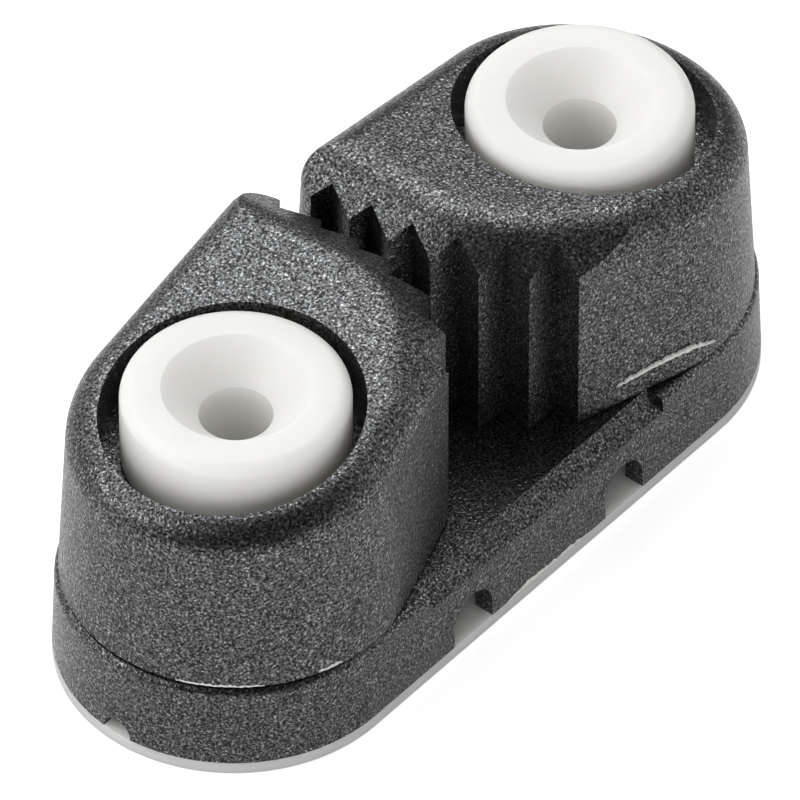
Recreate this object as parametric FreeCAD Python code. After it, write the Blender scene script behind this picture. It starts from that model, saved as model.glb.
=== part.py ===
"""Cam cleat: two sprung, toothed cams on a low base, held by two countersunk bushes.

Frame: the origin lies midway between the two screw holes, on the underside of the plate.
X runs through both holes, +Y is the way the rope is pulled, and +Z is up. All lengths are
in millimetres. Each cam is drawn once, about its own pivot, with its jaw towards +X.
"""
import FreeCAD, Part
import math
import os
from FreeCAD import Vector

# Fixings
hole_spacing = 38.0
screw_hole_radius = 2.65
countersink_radius = 5.3
countersink_angle = 90.0

# Plate under the base
plate_thickness = 1.0
end_radius = 12.95
end_shift = 0.34

# Base moulding
base_height = 6.8
base_draft = 0.25
base_wall = 1.6
base_deck = 2.2
base_top_round = 0.6
hub_radius = 6.8
side_slope_run = 1.5
side_slope_drop = 1.3
side_slope_length = 26.0
side_notch_width = 4.2
side_notch_height = 3.6
side_notch_offset = 8.4
end_notch_width = 2.4
end_notch_height = 1.3

# Bushes
bush_top = 25.18
head_radius = 8.2
head_height = 6.2
head_edge = 1.0
journal_radius = 5.6
spigot_radius = 4.2
spigot_clearance = 0.1

# Cams
cam_gap = 0.25
cam_inset = 0.3
cam_wall_draft = 1.0
bore_clearance = 0.05
top_height = 23.5
top_rise_to_jaw = 0.145
top_edge_round = 2.6
jaw_roll_length = 4.9
jaw_roll_radius = 4.0
jaw_roll_angle = 40.0
jaw_reach = 18.6
jaw_bend_start = 1.9
jaw_bend_radius = 13.64
jaw_bend_angle = 59.0
tip_round = 2.9
recess_radius = 9.5
recess_shift = 0.45
tooth_count = 6
tooth_pitch = 3.6
tooth_depth_at_corner = 2.15
tooth_depth_at_tip = 1.6
tooth_lean = 148.0
left_cam_turn = 4.5

# Springs
spring_wire = 0.9
spring_coil_radius = 8.5
spring_turns = 2.0
spring_pitch = 1.5
spring_leg = 2.0
leg_inset = 0.3
pocket_clearance = 0.35
leg_clearance = 0.2

# Heights that follow from the sizes above
base_bottom = plate_thickness
deck_top = base_bottom + base_height
cam_bottom = deck_top + cam_gap
head_bottom = bush_top - head_height
recess_floor = head_bottom - cam_gap
spring_radius = spring_wire / 2
spring_bottom = cam_bottom + spring_wire
spring_top = spring_bottom + spring_turns * spring_pitch
cam_radius = end_radius - cam_inset

# Cutters run this far past the faces they cut
overrun = 2.0
tall = bush_top + overrun
reach = hole_spacing + 2 * end_radius


def stadium(radius, centre_x, z):
    """Closed wire of two half circles joined by straight sides, at height z."""
    right = Part.Arc(
        Vector(centre_x, -radius, z), Vector(centre_x + radius, 0, z), Vector(centre_x, radius, z)
    ).toShape()
    left = Part.Arc(
        Vector(-centre_x, radius, z), Vector(-centre_x - radius, 0, z), Vector(-centre_x, -radius, z)
    ).toShape()
    front = Part.makeLine(Vector(-centre_x, -radius, z), Vector(centre_x, -radius, z))
    back = Part.makeLine(Vector(centre_x, radius, z), Vector(-centre_x, radius, z))
    return Part.Wire([front, right, back, left])


def stadium_block(radius, centre_x, z, height, draft=0.0):
    """Solid stadium whose wall leans in by the draft over its height."""
    lower = stadium(radius, centre_x, z)
    upper = stadium(radius - draft, centre_x, z + height)
    return Part.makeLoft([lower, upper], True, True)


def rod(x, y, z, radius, height):
    """Upright cylinder."""
    return Part.makeCylinder(radius, height, Vector(x, y, z))


def both_ends(shape):
    """A shape and its mirror image in the YZ plane, fused."""
    return shape.fuse(shape.mirror(Vector(0, 0, 0), Vector(1, 0, 0)))


def plate():
    """Flat pale plate under the base, with the two screw holes."""
    centre_x = hole_spacing / 2 + end_shift
    solid = stadium_block(end_radius, centre_x, 0, plate_thickness)
    hole = rod(hole_spacing / 2, 0, -overrun, screw_hole_radius, plate_thickness + 2 * overrun)
    return solid.cut(both_ends(hole))


def arched_notch(width, height, length):
    """Arch-topped cutter along Y for a notch in the base's lower edge."""
    crown = min(height, width / 2)
    radius = (crown**2 + (width / 2) ** 2) / (2 * crown)
    spring_line = base_bottom + height - crown
    left = Vector(-width / 2, -length / 2, spring_line)
    right = Vector(width / 2, -length / 2, spring_line)
    top = Vector(0, -length / 2, base_bottom + height)
    low_right = Vector(width / 2, -length / 2, base_bottom - overrun)
    low_left = Vector(-width / 2, -length / 2, base_bottom - overrun)
    outline = Part.Wire([
        Part.Arc(left, top, right).toShape(),
        Part.makeLine(right, low_right),
        Part.makeLine(low_right, low_left),
        Part.makeLine(low_left, left),
    ])
    return Part.Face(outline).extrude(Vector(0, length, 0))


def base_notches():
    """Cutters for the drain notches in both long sides and the small notch at each end."""
    across = 2 * (end_radius + overrun)
    side = arched_notch(side_notch_width, side_notch_height, across)
    cutters = [side.translated(Vector(x, 0, 0)) for x in (-side_notch_offset, side_notch_offset)]
    end = arched_notch(end_notch_width, end_notch_height, hole_spacing + across)
    end.rotate(Vector(0, 0, 0), Vector(0, 0, 1), 90)
    return cutters + [end]


def side_slope():
    """Cutter that slopes the long edge of the deck between the cams, on the front side."""
    wall_y = -end_radius + base_draft
    top_y = wall_y + side_slope_run
    edge_y = wall_y - overrun
    low = deck_top - side_slope_drop * (top_y - edge_y) / side_slope_run
    points = [
        Vector(0, top_y, deck_top),
        Vector(0, edge_y, low),
        Vector(0, edge_y, deck_top + overrun),
        Vector(0, top_y, deck_top + overrun),
    ]
    face = Part.Face(Part.makePolygon(points + points[:1]))
    wedge = face.extrude(Vector(side_slope_length, 0, 0))
    wedge.translate(Vector(-side_slope_length / 2, 0, 0))
    return wedge


def base():
    """Hollow base moulding with its deck, hubs, drain notches and sloped long edges."""
    centre_x = hole_spacing / 2 + end_shift
    outer = stadium_block(end_radius, centre_x, base_bottom, base_height, base_draft)
    rim = [e for e in outer.Edges if abs(e.BoundBox.ZMin - deck_top) < 1e-4]
    outer = outer.makeFillet(base_top_round, rim)
    inside_height = base_height - base_deck
    inner = stadium_block(end_radius - base_wall, centre_x, base_bottom, inside_height)
    hub = both_ends(rod(hole_spacing / 2, 0, base_bottom, hub_radius, inside_height + base_deck / 2))
    wall = outer.cut(inner)
    for cutter in base_notches():
        wall = wall.cut(cutter)
    wedge = side_slope()
    wall = wall.cut(wedge)
    wall = wall.cut(wedge.mirror(Vector(0, 0, 0), Vector(0, 1, 0)))
    shell = wall.fuse(hub)
    holes = both_ends(rod(hole_spacing / 2, 0, 0, spigot_radius + spigot_clearance, tall))
    leg_hole = leg_hole_in_deck()
    shell = shell.cut(holes)
    shell = shell.cut(on_left(leg_hole, left_cam_turn))
    shell = shell.cut(on_right(leg_hole))
    return shell.removeSplitter()


def bush():
    """Top-hat bush: countersunk head, journal for the cam and a spigot down to the plate."""
    r = screw_hole_radius
    sink_depth = (countersink_radius - r) / math.tan(math.radians(countersink_angle / 2))
    arc_mid = head_edge * (1 - math.sqrt(0.5))
    line = Part.makeLine
    edges = [
        line(Vector(r, 0, plate_thickness), Vector(spigot_radius, 0, plate_thickness)),
        line(Vector(spigot_radius, 0, plate_thickness), Vector(spigot_radius, 0, deck_top)),
        line(Vector(spigot_radius, 0, deck_top), Vector(journal_radius, 0, deck_top)),
        line(Vector(journal_radius, 0, deck_top), Vector(journal_radius, 0, head_bottom)),
        line(Vector(journal_radius, 0, head_bottom), Vector(head_radius, 0, head_bottom)),
        line(Vector(head_radius, 0, head_bottom), Vector(head_radius, 0, bush_top - head_edge)),
        Part.Arc(
            Vector(head_radius, 0, bush_top - head_edge),
            Vector(head_radius - arc_mid, 0, bush_top - arc_mid),
            Vector(head_radius - head_edge, 0, bush_top),
        ).toShape(),
        line(Vector(head_radius - head_edge, 0, bush_top), Vector(countersink_radius, 0, bush_top)),
        line(Vector(countersink_radius, 0, bush_top), Vector(r, 0, bush_top - sink_depth)),
        line(Vector(r, 0, bush_top - sink_depth), Vector(r, 0, plate_thickness)),
    ]
    face = Part.Face(Part.Wire(edges))
    return face.revolve(Vector(0, 0, 0), Vector(0, 0, 1), 360)


def polar(radius, degrees, centre=Vector(0, 0, 0)):
    """Point at a radius and an angle about a centre, in plan."""
    turn = math.radians(degrees)
    return centre + Vector(radius * math.cos(turn), radius * math.sin(turn), 0)


def jaw_bend_centre():
    """Centre of the arc that bends the jaw round to its front corner."""
    return Vector(jaw_reach - jaw_bend_radius, jaw_bend_start, 0)


def jaw_corner():
    """Front end of the jaw's tooth line, where the front wall meets it."""
    return polar(jaw_bend_radius, -jaw_bend_angle, jaw_bend_centre())


def cam_outline(radius, z):
    """Closed wire of a cam without its teeth: round end, front wall, jaw, tip and back wall."""
    corner = jaw_corner()
    corner_angle = math.degrees(math.atan2(corner.y, corner.x))
    front_touch = polar(radius, corner_angle - math.degrees(math.acos(radius / corner.Length)))
    back_touch = Vector(0, radius, 0)
    centre = jaw_bend_centre()
    bend_start = polar(jaw_bend_radius, 0, centre)
    tip_centre = Vector(jaw_reach - tip_round, radius - tip_round, 0)
    tip_start = tip_centre + Vector(tip_round, 0, 0)
    tip_end = tip_centre + Vector(0, tip_round, 0)
    edges = [
        Part.Arc(back_touch, polar(radius, 180), front_touch).toShape(),
        Part.makeLine(front_touch, corner),
        Part.Arc(corner, polar(jaw_bend_radius, -jaw_bend_angle / 2, centre), bend_start).toShape(),
        Part.makeLine(bend_start, tip_start),
        Part.Arc(tip_start, polar(tip_round, 45, tip_centre), tip_end).toShape(),
        Part.makeLine(tip_end, back_touch),
    ]
    wire = Part.Wire(edges)
    wire.translate(Vector(0, 0, z))
    return wire


def space_under_flat():
    """Everything below the flat of the cam's top, which rises towards the jaw."""
    block = Part.makeBox(2 * reach, 2 * reach, reach)
    block.translate(Vector(-reach, -reach, -reach))
    return on_top_plane(block)


def on_top_plane(shape):
    """A shape drawn about the origin's level, moved and tilted on to the plane of the cam's top."""
    tilt = math.degrees(math.atan(top_rise_to_jaw))
    shape.rotate(Vector(0, 0, 0), Vector(0, 1, 0), -tilt)
    shape.translate(Vector(0, 0, top_height))
    return shape


def jaw_roll():
    """Cutter for the round and slope that fall from the flat top to the tooth line.

    Its section is carried straight along the jaw, round the bend and on past the corner.
    """
    turn = math.radians(jaw_roll_angle)
    start = jaw_bend_radius - jaw_roll_length
    end = jaw_bend_radius + overrun
    flat_end = Vector(start, 0, 0)
    round_mid = flat_end + jaw_roll_step(turn / 2)
    round_end = flat_end + jaw_roll_step(turn)
    slope_end = Vector(end, 0, round_end.z - (end - round_end.x) * math.tan(turn))
    section = Part.Face(Part.Wire([
        Part.Arc(flat_end, round_mid, round_end).toShape(),
        Part.makeLine(round_end, slope_end),
        Part.makeLine(slope_end, Vector(end, 0, overrun)),
        Part.makeLine(Vector(end, 0, overrun), Vector(start, 0, overrun)),
        Part.makeLine(Vector(start, 0, overrun), flat_end),
    ]))
    centre = jaw_bend_centre()
    section.translate(centre)
    along_jaw = section.extrude(Vector(0, reach, 0))
    round_bend = section.revolve(centre, Vector(0, 0, -1), jaw_bend_angle)
    section.rotate(centre, Vector(0, 0, 1), -jaw_bend_angle)
    past_corner = section.extrude(polar(reach, -jaw_bend_angle - 90))
    return on_top_plane(along_jaw.fuse(round_bend).fuse(past_corner))


def jaw_roll_step(turn):
    """Way from the start of the jaw's round to the point where it has turned by an angle."""
    return Vector(math.sin(turn), 0, math.cos(turn) - 1) * jaw_roll_radius


def tooth_line_point(distance):
    """Point on the jaw's tooth line, at a distance from its front corner."""
    centre = jaw_bend_centre()
    bend_length = jaw_bend_radius * math.radians(jaw_bend_angle)
    if distance < bend_length:
        angle = -jaw_bend_angle + math.degrees(distance / jaw_bend_radius)
        return polar(jaw_bend_radius, angle, centre)
    return Vector(jaw_reach, jaw_bend_start + distance - bend_length, 0)


def tooth_groove(index):
    """Upright V cutter between two neighbouring tooth tips.

    All the grooves point the same way, so the teeth lean and bite the loaded rope.
    """
    start = tooth_line_point(index * tooth_pitch)
    end = tooth_line_point((index + 1) * tooth_pitch)
    share = index / (tooth_count - 1)
    depth = tooth_depth_at_corner + (tooth_depth_at_tip - tooth_depth_at_corner) * share
    root = polar(depth, tooth_lean, (start + end) * 0.5)
    stretch = 1 + overrun / depth
    left = root + (start - root) * stretch
    right = root + (end - root) * stretch
    face = Part.Face(Part.makePolygon([left, root, right, left]))
    return face.extrude(Vector(0, 0, tall))


def leg_place(side):
    """Plan place of a spring leg about the pivot: the lower leg (+1) or the upper leg (-1)."""
    return Vector(-spring_coil_radius, -side * leg_inset, 0)


def cam():
    """One cam about its own pivot, jaw towards +X, with its recess, bore and spring pocket."""
    lower = cam_outline(cam_radius, cam_bottom)
    upper = cam_outline(cam_radius - cam_wall_draft, tall)
    body = Part.makeLoft([lower, upper], True, True)
    body = body.common(space_under_flat())
    body = round_top_edge(body)
    body = body.cut(jaw_roll())
    body = body.cut(rod(-recess_shift, 0, recess_floor, recess_radius, tall))
    body = body.cut(rod(0, 0, 0, journal_radius + bore_clearance, tall))
    for index in range(tooth_count):
        body = body.cut(tooth_groove(index))
    return body.cut(spring_pocket())


def round_top_edge(body):
    """Rounds the outer top edge from the front wall, round the end and along the back to the tip."""
    edges = []
    for edge in body.Edges:
        middle = edge.valueAt((edge.FirstParameter + edge.LastParameter) / 2)
        on_top = middle.z > head_bottom and edge.BoundBox.ZLength < head_height
        on_jaw = middle.x > jaw_corner().x and middle.y < cam_radius - tip_round
        if on_top and not on_jaw:
            edges.append(edge)
    return body.makeFillet(top_edge_round, edges)


def spring_pocket():
    """Ring-shaped pocket for the coil in the cam's underside, with a hole for the upper leg."""
    outer = spring_coil_radius + spring_radius + pocket_clearance
    inner = spring_coil_radius - spring_radius - pocket_clearance
    top = spring_top + spring_radius + pocket_clearance
    low = cam_bottom - overrun
    ring = rod(0, 0, low, outer, top - low).cut(rod(0, 0, low, inner, top - low))
    place = leg_place(-1)
    leg_top = spring_top + spring_leg + leg_clearance
    leg = rod(place.x, place.y, spring_top, spring_radius + leg_clearance, leg_top - spring_top)
    return ring.fuse(leg)


def leg_hole_in_deck():
    """Cutter about the pivot for the spring's lower leg, right through the deck."""
    place = leg_place(1)
    low = deck_top - base_deck - overrun
    return rod(place.x, place.y, low, spring_radius + leg_clearance, base_deck + 2 * overrun)


def spring():
    """Torsion spring about the pivot: a coil with a straight leg up and a straight leg down."""
    helix = Part.makeHelix(spring_pitch, spring_turns * spring_pitch, spring_coil_radius)
    helix.translate(Vector(0, 0, spring_bottom))
    start = Vector(spring_coil_radius, 0, spring_bottom)
    ring = Part.Wire([Part.makeCircle(spring_radius, start, Vector(0, 1, 0))])
    coil = Part.Wire(helix.Edges).makePipeShell([ring], True, True)
    coil.rotate(Vector(0, 0, 0), Vector(0, 0, 1), 180)
    leg_start = deck_top - base_deck / 2
    low = leg_place(1)
    high = leg_place(-1)
    lower = rod(low.x, low.y, leg_start, spring_radius, spring_bottom - leg_start)
    upper = rod(high.x, high.y, spring_top, spring_radius, spring_leg)
    return coil.fuse(lower).fuse(upper)


def on_left(shape, turn=0.0):
    """Copy of a shape drawn about its own pivot, turned and set on the left pivot."""
    copy = shape.copy()
    copy.rotate(Vector(0, 0, 0), Vector(0, 0, 1), turn)
    copy.translate(Vector(-hole_spacing / 2, 0, 0))
    return copy


def on_right(shape):
    """Mirrored copy of a shape drawn about its own pivot, set on the right pivot."""
    copy = shape.mirror(Vector(0, 0, 0), Vector(1, 0, 0))
    copy.translate(Vector(hole_spacing / 2, 0, 0))
    return copy


def main():
    """Builds every piece and writes each one to its own file."""
    os.makedirs("parts", exist_ok=True)
    one_cam = cam()
    one_bush = bush()
    one_spring = spring()
    pieces = {
        "plate": plate(),
        "base": base(),
        "left_bush": on_left(one_bush),
        "right_bush": on_right(one_bush),
        "left_cam": on_left(one_cam, left_cam_turn),
        "right_cam": on_right(one_cam),
        "left_spring": on_left(one_spring, left_cam_turn),
        "right_spring": on_right(one_spring),
    }
    for name, shape in pieces.items():
        solid = shape.Solids[0] if len(shape.Solids) == 1 else shape
        print(name, "valid", solid.isValid(), "volume", round(solid.Volume, 1))
        solid.exportStep(os.path.join("parts", name + ".step"))


main()
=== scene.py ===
"""Looks of a small cam cleat: materials, moulding flash, floor, light and camera.

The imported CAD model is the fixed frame. Its nodes keep their shapes and get new materials, and
the thin flash left by moulding is added as pieces of its own. Lengths are in metres.
"""
import logging
import math
from dataclasses import dataclass, field
from enum import Enum

import bpy
import numpy as np
from mathutils import Matrix, Vector

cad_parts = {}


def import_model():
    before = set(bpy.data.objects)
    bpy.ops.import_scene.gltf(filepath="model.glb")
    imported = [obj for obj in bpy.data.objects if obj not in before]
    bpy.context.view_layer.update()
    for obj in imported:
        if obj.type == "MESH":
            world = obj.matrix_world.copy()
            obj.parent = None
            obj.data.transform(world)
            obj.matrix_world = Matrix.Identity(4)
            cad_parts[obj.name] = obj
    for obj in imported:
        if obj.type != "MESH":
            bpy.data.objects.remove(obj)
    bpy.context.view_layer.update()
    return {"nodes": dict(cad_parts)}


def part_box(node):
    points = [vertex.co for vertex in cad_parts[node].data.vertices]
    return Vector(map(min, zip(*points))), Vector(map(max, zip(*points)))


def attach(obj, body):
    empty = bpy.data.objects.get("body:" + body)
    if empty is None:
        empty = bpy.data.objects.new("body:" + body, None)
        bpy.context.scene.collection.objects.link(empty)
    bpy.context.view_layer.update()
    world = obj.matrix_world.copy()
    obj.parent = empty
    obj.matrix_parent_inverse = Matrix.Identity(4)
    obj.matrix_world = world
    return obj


MM = 0.001
log = logging.getLogger("cam_cleat")


def linear(hex_code: str) -> tuple[float, float, float, float]:
    """Turns an sRGB hex code into a linear colour.

    Args:
        hex_code: Six hex digits after a hash sign.

    Returns:
        Linear red, green, blue and an alpha of 1.
    """
    parts = [int(hex_code[i:i + 2], 16) / 255 for i in (1, 3, 5)]
    lin = [c / 12.92 if c <= 0.04045 else ((c + 0.055) / 1.055) ** 2.4 for c in parts]
    return (*lin, 1.0)


def add_node(tree: bpy.types.NodeTree, kind: str, settings: dict | None = None,
             inputs: dict | None = None) -> bpy.types.Node:
    """Adds a shader node with its settings and links.

    Args:
        tree: Node tree that gets the node.
        kind: Blender's type name of the node.
        settings: Values for the node's own properties.
        inputs: For each input, by name or number, a value or an output socket to link.

    Returns:
        The new node.
    """
    node = tree.nodes.new(kind)
    for name, value in (settings or {}).items():
        setattr(node, name, value)
    for name, value in (inputs or {}).items():
        if isinstance(value, bpy.types.NodeSocket):
            tree.links.new(value, node.inputs[name])
        else:
            node.inputs[name].default_value = value
    return node


def grid_mesh(name: str, points: np.ndarray, closed: bool = False) -> bpy.types.Object:
    """Makes a mesh object from a grid of points.

    Args:
        name: Name of the object.
        points: Array of rows by columns by three.
        closed: Whether the last column joins the first.

    Returns:
        The new object, linked to the scene.
    """
    rows, cols = points.shape[:2]
    steps = cols if closed else cols - 1
    row, col = np.meshgrid(np.arange(rows - 1), np.arange(steps), indexing="ij")
    after = (col + 1) % cols
    quads = np.stack([row * cols + col, row * cols + after,
                      (row + 1) * cols + after, (row + 1) * cols + col], axis=-1).reshape(-1, 4)
    mesh = bpy.data.meshes.new(name)
    mesh.from_pydata(points.reshape(-1, 3), [], quads)
    mesh.shade_smooth()
    thing = bpy.data.objects.new(name, mesh)
    bpy.context.scene.collection.objects.link(thing)
    return thing


class Grain(Enum):
    """How coarse a nylon piece's moulded texture is, as the width of a grain in millimetres.

    The widths are those of the photograph's speckle, a little over a pixel of it.
    """

    COARSE = 0.13
    FINE = 0.12


@dataclass(frozen=True)
class GlassFilledNylon:
    """Charcoal glass-filled nylon from a spark-eroded mould.

    The eye gets a dense light and dark speckle, because resin-rich grains and short glass fibres
    mirror the room and the pits between them don't. The skin mirrors more than its pigment
    scatters, which a plain plastic can't give, so it is part metallic.

    speck_fineness is how many times finer the speckle of colour is than the relief, and each
    span gives the noise values between which one look turns into the next.
    """

    name: str
    grain: Grain
    dark: str = "#232324"
    light: str = "#717273"
    fibre: str = "#b8b9ba"
    grain_height: float = 0.05 * MM
    grain_contrast: float = 0.7
    speck_fineness: float = 1.3
    speck_contrast: float = 0.6
    noise_detail: float = 2.0
    tone_span: tuple[float, float] = (0.4, 0.61)
    glint_span: tuple[float, float] = (0.62, 0.7)
    polish_span: tuple[float, float] = (0.4, 0.6)
    roughness_low: float = 0.24
    roughness_high: float = 0.38
    metallic: float = 0.88
    ior: float = 1.54

    def build(self) -> bpy.types.Material:
        """Builds the material.

        Returns:
            A material that reads Object coordinates.
        """
        material = bpy.data.materials.new(self.name)
        material.use_nodes = True
        tree = material.node_tree
        shader = tree.nodes["Principled BSDF"]
        shader.inputs["IOR"].default_value = self.ior
        shader.inputs["Metallic"].default_value = self.metallic
        place = add_node(tree, "ShaderNodeTexCoord").outputs["Object"]
        # A noise cell holds one light and one dark grain, so it is two grains wide.
        per_metre = 1 / (2 * self.grain.value * MM)
        grain = add_node(tree, "ShaderNodeTexNoise", {},
                         {"Vector": place, "Scale": per_metre,
                          "Detail": self.noise_detail, "Roughness": self.grain_contrast})
        speck = add_node(tree, "ShaderNodeTexNoise", {},
                         {"Vector": place, "Scale": per_metre * self.speck_fineness,
                          "Detail": self.noise_detail, "Roughness": self.speck_contrast})
        # Pits keep the dark pigment, grains are lighter, and the highest show a fibre's end.
        tone = add_node(tree, "ShaderNodeMapRange", {},
                        {"Value": speck.outputs[0],
                         "From Min": self.tone_span[0], "From Max": self.tone_span[1]})
        body = add_node(tree, "ShaderNodeMix", {"data_type": "RGBA"},
                        {0: tone.outputs[0], 6: linear(self.dark), 7: linear(self.light)})
        glint = add_node(tree, "ShaderNodeMapRange", {},
                         {"Value": speck.outputs[0],
                          "From Min": self.glint_span[0], "From Max": self.glint_span[1]})
        fibres = add_node(tree, "ShaderNodeMix", {"data_type": "RGBA"},
                          {0: glint.outputs[0], 6: body.outputs[2], 7: linear(self.fibre)})
        tree.links.new(fibres.outputs[2], shader.inputs["Base Color"])
        # Raised grains are rubbed smooth in use, and the pits stay matt.
        polish = add_node(tree, "ShaderNodeMapRange", {},
                          {"Value": speck.outputs[0],
                           "From Min": self.polish_span[0], "From Max": self.polish_span[1],
                           "To Min": self.roughness_high, "To Max": self.roughness_low})
        tree.links.new(polish.outputs[0], shader.inputs["Roughness"])
        bump = add_node(tree, "ShaderNodeBump", {},
                        {"Height": grain.outputs[0], "Distance": self.grain_height,
                         "Strength": 1.0})
        tree.links.new(bump.outputs[0], shader.inputs["Normal"])
        return material


@dataclass(frozen=True)
class SmoothPlastic:
    """Pale moulded plastic, such as acetal, with a satin skin and faint moulding flow.

    The eye gets an even off-white with a soft sheen and the slightest unevenness. Light goes a
    little way in, glow_depth, and comes out again, which softens the shadows on it.

    patch is the width of a patch of flow, and skin_fineness is how many times finer the
    unevenness of the skin is.
    """

    name: str
    pale: str
    shade: str
    roughness: float
    patch: float = 3.0 * MM
    flow_detail: float = 3.0
    skin_fineness: float = 12.0
    skin_detail: float = 2.0
    skin_span: tuple[float, float] = (0.3, 0.7)
    roughness_spread: float = 0.06
    wave_height: float = 0.006 * MM
    ior: float = 1.48
    glow_depth: float = 3.0 * MM
    glow_tint: tuple[float, float, float] = (1.0, 0.95, 0.9)
    glow_weight: float = 0.8

    def build(self) -> bpy.types.Material:
        """Builds the material.

        Returns:
            A material that reads Object coordinates.
        """
        material = bpy.data.materials.new(self.name)
        material.use_nodes = True
        tree = material.node_tree
        shader = tree.nodes["Principled BSDF"]
        shader.inputs["IOR"].default_value = self.ior
        shader.inputs["Subsurface Weight"].default_value = self.glow_weight
        shader.inputs["Subsurface Radius"].default_value = self.glow_tint
        shader.inputs["Subsurface Scale"].default_value = self.glow_depth
        place = add_node(tree, "ShaderNodeTexCoord").outputs["Object"]
        flow = add_node(tree, "ShaderNodeTexNoise", {},
                        {"Vector": place, "Scale": 1 / self.patch, "Detail": self.flow_detail})
        skin = add_node(tree, "ShaderNodeTexNoise", {},
                        {"Vector": place, "Scale": self.skin_fineness / self.patch,
                         "Detail": self.skin_detail})
        mix = add_node(tree, "ShaderNodeMix", {"data_type": "RGBA"},
                       {0: flow.outputs[0], 6: linear(self.pale), 7: linear(self.shade)})
        tree.links.new(mix.outputs[2], shader.inputs["Base Color"])
        polish = add_node(tree, "ShaderNodeMapRange", {},
                          {"Value": skin.outputs[0],
                           "From Min": self.skin_span[0], "From Max": self.skin_span[1],
                           "To Min": self.roughness - self.roughness_spread,
                           "To Max": self.roughness + self.roughness_spread})
        tree.links.new(polish.outputs[0], shader.inputs["Roughness"])
        bump = add_node(tree, "ShaderNodeBump", {},
                        {"Height": skin.outputs[0], "Distance": self.wave_height,
                         "Strength": 1.0})
        tree.links.new(bump.outputs[0], shader.inputs["Normal"])
        return material


@dataclass(frozen=True)
class SpringWire:
    """Drawn stainless spring wire.

    The eye gets a dull metal shine, broken by the fine lines that the die leaves. line_width is
    the width of one line, line_squeeze how much longer than wide it is drawn, as a fraction, and
    dull_tone how dark the darkest line is next to the metal.
    """

    name: str
    metal: str = "#b9babb"
    line_width: float = 0.06 * MM
    line_squeeze: float = 0.1
    line_detail: float = 2.0
    dull_tone: float = 0.6
    roughness_low: float = 0.2
    roughness_high: float = 0.45

    def build(self) -> bpy.types.Material:
        """Builds the material.

        Returns:
            A metal that reads Object coordinates.
        """
        material = bpy.data.materials.new(self.name)
        material.use_nodes = True
        tree = material.node_tree
        shader = tree.nodes["Principled BSDF"]
        shader.inputs["Metallic"].default_value = 1.0
        place = add_node(tree, "ShaderNodeTexCoord").outputs["Object"]
        squeeze = add_node(tree, "ShaderNodeMapping", {},
                           {"Vector": place,
                            "Scale": (self.line_squeeze, self.line_squeeze, 1.0)})
        lines = add_node(tree, "ShaderNodeTexNoise", {},
                         {"Vector": squeeze.outputs[0], "Scale": 1 / (2 * self.line_width),
                          "Detail": self.line_detail})
        dull = add_node(tree, "ShaderNodeMapRange", {},
                        {"Value": lines.outputs[0], "To Min": self.dull_tone, "To Max": 1.0})
        tint = add_node(tree, "ShaderNodeMix", {"data_type": "RGBA", "blend_type": "MULTIPLY"},
                        {0: 1.0, 6: linear(self.metal), 7: dull.outputs[0]})
        tree.links.new(tint.outputs[2], shader.inputs["Base Color"])
        polish = add_node(tree, "ShaderNodeMapRange", {},
                          {"Value": lines.outputs[0], "To Min": self.roughness_low,
                           "To Max": self.roughness_high})
        tree.links.new(polish.outputs[0], shader.inputs["Roughness"])
        return material


def dress(node: bpy.types.Object, material: bpy.types.Material) -> None:
    """Gives every material slot of a CAD node the new material.

    Args:
        node: Object of the CAD node.
        material: Material that it gets.
    """
    if not node.material_slots:
        node.data.materials.append(material)
    for holder in node.material_slots:
        holder.material = material


def ragged(count: int, seed: int, smooth: int) -> np.ndarray:
    """Random heights from 0 to 1 with neighbouring values drawn together.

    Args:
        count: How many heights.
        seed: Seed of the random draw.
        smooth: How many neighbours are averaged.

    Returns:
        The moving average of a random row, stretched to run from 0 to 1.
    """
    raw = np.random.default_rng(seed).random(count + smooth - 1)
    mean = np.convolve(raw, np.ones(smooth) / smooth, mode="valid")
    return (mean - mean.min()) / (mean.max() - mean.min())


@dataclass(frozen=True)
class Fin:
    """Section of the thin ragged fin that moulding leaves along an edge.

    sides is how many points go round the section, and low_share is how wide the fin is where it
    is lowest, as a share of its full width.
    """

    half_thickness: float
    sides: int = 8
    low_share: float = 0.4

    def build(self, name: str, path: np.ndarray, outward: np.ndarray,
              height: np.ndarray) -> bpy.types.Object:
        """Makes the fin along a path.

        The section is a narrow oval that stands on the path. At an angle a round the section a
        point lies at path + outward * width * cos(a) + up * height * (1 + sin(a)) / 2, and the
        width grows with the height, from low_share of the half thickness to all of it. Each end
        is drawn to a point, so the fin is closed.

        Args:
            name: Name of the object.
            path: Points along the edge.
            outward: Unit direction away from the wall at each point.
            height: How far the fin stands up at each point.

        Returns:
            The new object.
        """
        around = np.linspace(0, 2 * math.pi, self.sides, endpoint=False)
        share = self.low_share + (1 - self.low_share) * height / height.max()
        width = self.half_thickness * share
        side = outward[:, None, :] * (width[:, None] * np.cos(around))[..., None]
        rise = height[:, None] * (1 + np.sin(around))[None, :] / 2
        points = path[:, None, :] + side
        points[..., 2] += rise
        first = points[:1].mean(axis=1, keepdims=True).repeat(self.sides, axis=1)
        last = points[-1:].mean(axis=1, keepdims=True).repeat(self.sides, axis=1)
        return grid_mesh(name, np.concatenate([first, points, last]), closed=True)


@dataclass(frozen=True)
class Flash:
    """One stretch of flash on a cam's wall, as angles about the pivot and heights.

    The wall is round about the pivot, and flat where the angle is below flat_below_deg. lifts
    are the heights above the cam's underside, at even steps from the start to the end.
    """

    name: str
    side: str
    start_deg: float
    end_deg: float
    flat_below_deg: float
    lifts: tuple[float, ...]
    height: float
    half_thickness: float
    seed: int


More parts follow.
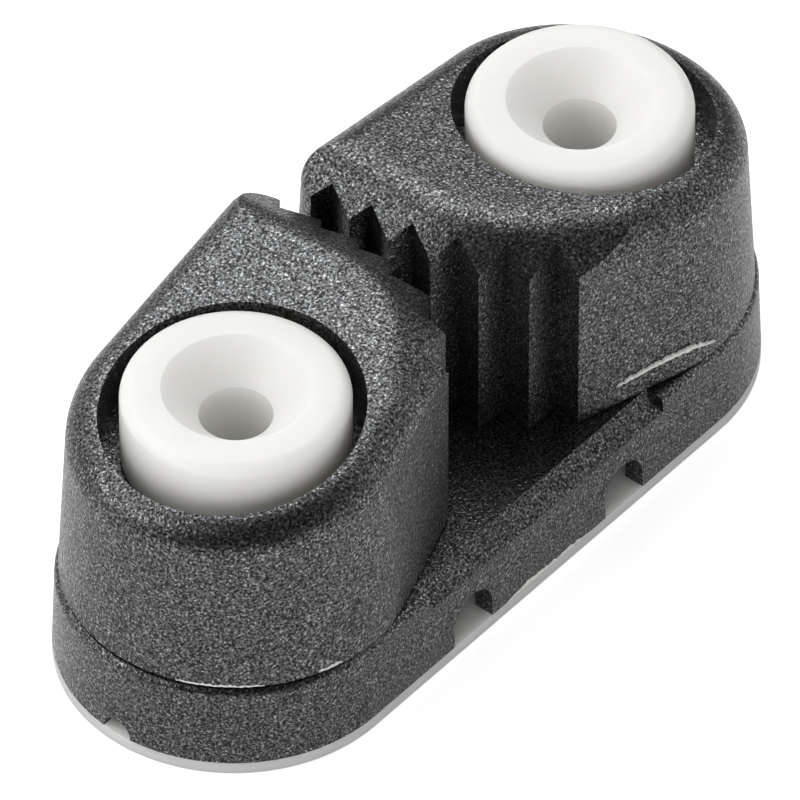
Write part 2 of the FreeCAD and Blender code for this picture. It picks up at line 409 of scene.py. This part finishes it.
@dataclass
class Cams:
    """Both toothed cams, and the flash that moulding left on their lower front edges.

    wander and lowest are shares of a flash's height: how far its foot strays up, and how high it
    is at its lowest. The two smooth counts are how many neighbours are drawn together, and
    taper_power shapes the ends, where 0 would be blunt and 1 a half sine.
    """

    nodes: dict
    nylon: bpy.types.Material
    flash: bpy.types.Material
    wall_radius: float = 12.64 * MM
    point_gap_deg: float = 0.35
    wander: float = 0.3
    wander_smooth: int = 4
    lowest: float = 0.3
    height_smooth: int = 2
    taper_power: float = 0.3
    stretches: tuple[Flash, ...] = (
        Flash("right_cam_flash", "right", -129.3, -90.2, -105.6,
              (1.65 * MM, 1.8 * MM, 1.85 * MM, 1.65 * MM, 0.9 * MM), 0.5 * MM, 0.28 * MM, 5),
        Flash("left_cam_flash", "left", -113.0, -104.0, -180.0,
              (0.05 * MM, 0.1 * MM), 0.3 * MM, 0.15 * MM, 8),
        Flash("left_cam_burr", "left", -160.0, -131.0, -180.0,
              (0.0, 0.0), 0.2 * MM, 0.12 * MM, 21),
    )

    def build(self) -> None:
        """Dresses the cams and adds the flash."""
        for name in ("left_cam", "right_cam"):
            dress(self.nodes[name], self.nylon)
            log.info("dressed %s", name)
        for stretch in self.stretches:
            self.add_flash(stretch)

    def add_flash(self, stretch: Flash) -> None:
        """Adds one stretch of flash along a cam's wall.

        A point at angle a lies at pivot + radius * (cos a, sin a) on the round wall. On the flat
        wall, past the angle b where it touches the round, the radius grows to radius / cos(b - a).
        Its height is the cam's underside plus the lift at that angle.

        Args:
            stretch: Where it lies and how large it is.
        """
        low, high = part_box(f"{stretch.side}_bush")
        pivot = (low + high) / 2
        count = round((stretch.end_deg - stretch.start_deg) / self.point_gap_deg)
        turn = np.radians(np.linspace(stretch.start_deg, stretch.end_deg, count))
        touch = math.radians(stretch.flat_below_deg)
        radius = self.wall_radius / np.cos(np.maximum(touch - turn, 0.0))
        facing = np.maximum(turn, touch)
        outward = np.stack([np.cos(facing), np.sin(facing), np.zeros_like(turn)], axis=1)
        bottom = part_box(f"{stretch.side}_cam")[0].z
        along = np.linspace(0.0, 1.0, count)
        lift = np.interp(along, np.linspace(0.0, 1.0, len(stretch.lifts)), stretch.lifts)
        stray = ragged(count, stretch.seed + 1, self.wander_smooth)
        path = np.stack([pivot.x + radius * np.cos(turn), pivot.y + radius * np.sin(turn),
                         bottom + lift + self.wander * stretch.height * stray], axis=1)
        taper = np.sin(math.pi * along) ** self.taper_power
        torn = ragged(count, stretch.seed, self.height_smooth)
        height = stretch.height * taper * (self.lowest + (1 - self.lowest) * torn)
        fin = Fin(stretch.half_thickness).build(stretch.name, path, outward, height)
        fin.data.materials.append(self.flash)
        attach(fin, f"cam_{stretch.side}")
        log.info("built %s", fin.name)


@dataclass
class BaseMoulding:
    """Base and plate, and the flash along the middle of the base's lower front edge.

    flash_lowest is how high the flash is at its lowest, as a share of its height.
    """

    nodes: dict
    nylon: bpy.types.Material
    pale: bpy.types.Material
    flash: bpy.types.Material
    flash_half_length: float = 4.8 * MM
    flash_height: float = 0.6 * MM
    flash_half_thickness: float = 0.09 * MM
    flash_points: int = 60
    flash_lowest: float = 0.2
    flash_smooth: int = 7
    flash_seed: int = 11
    taper_power: float = 0.5

    def build(self) -> None:
        """Dresses the base and the plate and adds the flash, along X where Y is lowest."""
        dress(self.nodes["base"], self.nylon)
        dress(self.nodes["plate"], self.pale)
        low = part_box("base")[0]
        along = np.linspace(-self.flash_half_length, self.flash_half_length, self.flash_points)
        path = np.stack([along, np.full_like(along, low.y), np.full_like(along, low.z)], axis=1)
        outward = np.tile(np.array([0.0, -1.0, 0.0]), (self.flash_points, 1))
        taper = np.sin(np.linspace(0, math.pi, self.flash_points)) ** self.taper_power
        torn = ragged(self.flash_points, self.flash_seed, self.flash_smooth)
        height = self.flash_height * taper * (self.flash_lowest + (1 - self.flash_lowest) * torn)
        fin = Fin(self.flash_half_thickness).build("base_flash", path, outward, height)
        fin.data.materials.append(self.flash)
        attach(fin, "body")
        log.info("dressed base and plate, built %s", fin.name)


@dataclass
class Hardware:
    """Bushes and springs."""

    nodes: dict
    acetal: bpy.types.Material
    wire: bpy.types.Material

    def build(self) -> None:
        """Dresses the bushes and the springs."""
        for side in ("left", "right"):
            dress(self.nodes[f"{side}_bush"], self.acetal)
            dress(self.nodes[f"{side}_spring"], self.wire)
            log.info("dressed the %s bush and spring", side)


@dataclass(frozen=True)
class Softbox:
    """A square soft light, by where it hangs from the object and how bright its face is.

    A radiance of 1 is white. mirrored is whether glossy surfaces show it.
    """

    name: str
    direction: tuple[float, float, float]
    distance: float
    size: float
    radiance: float
    mirrored: bool = True

    def hang(self) -> None:
        """Hangs the light so that it faces the object."""
        light = bpy.data.lights.new(self.name, "AREA")
        light.shape = "SQUARE"
        light.size = self.size
        light.energy = self.radiance * math.pi * self.size ** 2
        lamp = bpy.data.objects.new(self.name, light)
        toward = Vector(self.direction)
        lamp.location = toward.normalized() * self.distance
        lamp.rotation_euler = toward.to_track_quat("Z", "Y").to_euler()
        lamp.visible_glossy = self.mirrored
        bpy.context.scene.collection.objects.link(lamp)


@dataclass(frozen=True)
class DarkZone:
    """A dark part of the room that glossy grains mirror.

    edge and core are the cosines of the angles from its direction at which it starts and at
    which it is darkest, and level is how bright it still is there.
    """

    direction: tuple[float, float, float]
    edge: float
    core: float
    level: float


@dataclass
class Studio:
    """White floor, soft light and the camera at the photograph's angle."""

    floor_size: float = 6.0
    floor_drop: float = 0.1 * MM
    floor_white: float = 0.9
    floor_glow: float = 0.6
    mirrored_glow: float = 0.2
    camera_place: Vector = field(default_factory=lambda: Vector((-0.79941, -0.66335, 1.03604)))
    right: Vector = field(default_factory=lambda: Vector((0.6391, -0.7692, 0.0)))
    up: Vector = field(default_factory=lambda: Vector((0.5407, 0.4492, 0.7113)))
    lens: float = 924.9
    sensor: float = 36.0
    camera_reach: float = 20.0
    ambient: float = 0.5
    softboxes: tuple[Softbox, ...] = (
        Softbox("back_softbox", (0.38, 0.46, 0.8), 0.55, 0.5, 1.8),
        Softbox("side_softbox", (-0.6, 0.47, 0.65), 0.6, 0.42, 2.2),
        Softbox("front_fill", (-0.75, -0.62, 0.2), 0.6, 0.45, 2.0, mirrored=False),
    )
    dark_zones: tuple[DarkZone, DarkZone] = (
        DarkZone((-0.5471, -0.4546, 0.7029), 0.2, 0.82, 0.05),
        DarkZone((0.88, 0.46, 0.1), 0.72, 0.94, 0.15),
    )

    def build(self) -> None:
        """Builds the floor, the lights, the world and the camera."""
        self.build_floor()
        for softbox in self.softboxes:
            softbox.hang()
        self.build_world()
        self.build_camera()
        bpy.context.scene.view_settings.view_transform = "Standard"

    def build_floor(self) -> None:
        """Makes a matt white paper floor, which the eye sees as plain white with a shadow.

        The paper glows a little to the camera, and less in what mirrors it, and scatters light
        as plain paper does.
        """
        half = self.floor_size / 2
        across = np.linspace(-half, half, 2)
        x, y = np.meshgrid(across, across, indexing="xy")
        floor = grid_mesh("floor", np.stack([x, y, np.full_like(x, -self.floor_drop)], axis=-1))
        material = bpy.data.materials.new("matt_white_paper")
        material.use_nodes = True
        tree = material.node_tree
        tree.nodes.clear()
        path = add_node(tree, "ShaderNodeLightPath")
        mirrored = add_node(tree, "ShaderNodeMath", {"operation": "MAXIMUM"},
                            {0: path.outputs["Is Glossy Ray"],
                             1: path.outputs["Is Transmission Ray"]})
        fainter = add_node(tree, "ShaderNodeMath", {"operation": "MULTIPLY"},
                           {0: mirrored.outputs[0], 1: self.mirrored_glow})
        seen = add_node(tree, "ShaderNodeMath", {"operation": "MULTIPLY"},
                        {0: path.outputs["Is Camera Ray"], 1: self.floor_glow})
        lift = add_node(tree, "ShaderNodeMath", {"operation": "MAXIMUM"},
                        {0: seen.outputs[0], 1: fainter.outputs[0]})
        paper = add_node(tree, "ShaderNodeBsdfDiffuse", {},
                         {"Color": (self.floor_white, self.floor_white, self.floor_white, 1)})
        glow = add_node(tree, "ShaderNodeEmission", {}, {"Strength": lift.outputs[0]})
        both = add_node(tree, "ShaderNodeAddShader", {},
                        {0: paper.outputs[0], 1: glow.outputs[0]})
        add_node(tree, "ShaderNodeOutputMaterial", {}, {"Surface": both.outputs[0]})
        floor.data.materials.append(material)

    def build_world(self) -> None:
        """Makes the room.

        It is white to the camera and even as light. What mirrors it sees it white too, apart
        from the dark zones, whose levels are multiplied.
        """
        world = bpy.data.worlds.new("studio")
        world.use_nodes = True
        tree = world.node_tree
        tree.nodes.clear()
        path = add_node(tree, "ShaderNodeLightPath")
        place = add_node(tree, "ShaderNodeTexCoord")
        dims = []
        for zone in self.dark_zones:
            facing = add_node(tree, "ShaderNodeVectorMath", {"operation": "DOT_PRODUCT"},
                              {0: place.outputs["Generated"], 1: zone.direction})
            dim = add_node(tree, "ShaderNodeMapRange", {"interpolation_type": "SMOOTHSTEP"},
                           {"Value": facing.outputs["Value"], "From Min": zone.edge,
                            "From Max": zone.core, "To Min": 1.0, "To Max": zone.level})
            dims.append(dim.outputs[0])
        room = add_node(tree, "ShaderNodeMath", {"operation": "MULTIPLY"},
                        {0: dims[0], 1: dims[1]})
        gloss = add_node(tree, "ShaderNodeMath", {"operation": "MAXIMUM"},
                         {0: path.outputs["Is Glossy Ray"],
                          1: path.outputs["Is Transmission Ray"]})
        plain = add_node(tree, "ShaderNodeMix", {"data_type": "FLOAT"},
                         {0: gloss.outputs[0], 2: self.ambient, 3: room.outputs[0]})
        level = add_node(tree, "ShaderNodeMix", {"data_type": "FLOAT"},
                         {0: path.outputs["Is Camera Ray"], 2: plain.outputs[0], 3: 1.0})
        back = add_node(tree, "ShaderNodeBackground", {}, {"Strength": level.outputs[0]})
        add_node(tree, "ShaderNodeOutputWorld", {}, {"Surface": back.outputs[0]})
        bpy.context.scene.world = world

    def build_camera(self) -> None:
        """Sets the camera where the photograph was taken from."""
        camera = bpy.data.cameras.new("camera")
        camera.lens = self.lens
        camera.sensor_width = self.sensor
        camera.clip_end = self.camera_reach
        eye = bpy.data.objects.new("camera", camera)
        back = self.right.cross(self.up).normalized()
        turn = Matrix((self.right, self.up, back)).transposed()
        eye.matrix_world = Matrix.Translation(self.camera_place) @ turn.to_4x4()
        bpy.context.scene.collection.objects.link(eye)
        bpy.context.scene.camera = eye


def main() -> None:
    """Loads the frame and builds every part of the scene."""
    logging.basicConfig(level=logging.INFO)
    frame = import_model()
    nodes = frame["nodes"]
    cam_nylon = GlassFilledNylon("moulded_glass_filled_nylon_cam", Grain.COARSE).build()
    base_nylon = GlassFilledNylon("moulded_glass_filled_nylon_base", Grain.FINE).build()
    acetal = SmoothPlastic("white_acetal", "#f4f3f0", "#efeeea", 0.42).build()
    plate_plastic = SmoothPlastic("pale_moulded_plate", "#f1f0ec", "#e6e5e0", 0.55).build()
    # Nylon whitens where it tears, so the flash is pale, matt and patchy.
    flash_plastic = SmoothPlastic("torn_nylon_flash", "#faf9f6", "#dddcd8", 0.6, 0.5 * MM,
                                  glow_weight=0.0).build()
    wire = SpringWire("drawn_stainless_wire").build()
    Studio().build()
    BaseMoulding(nodes, base_nylon, plate_plastic, flash_plastic).build()
    Cams(nodes, cam_nylon, flash_plastic).build()
    Hardware(nodes, acetal, wire).build()


if __name__ == "__main__":
    main()
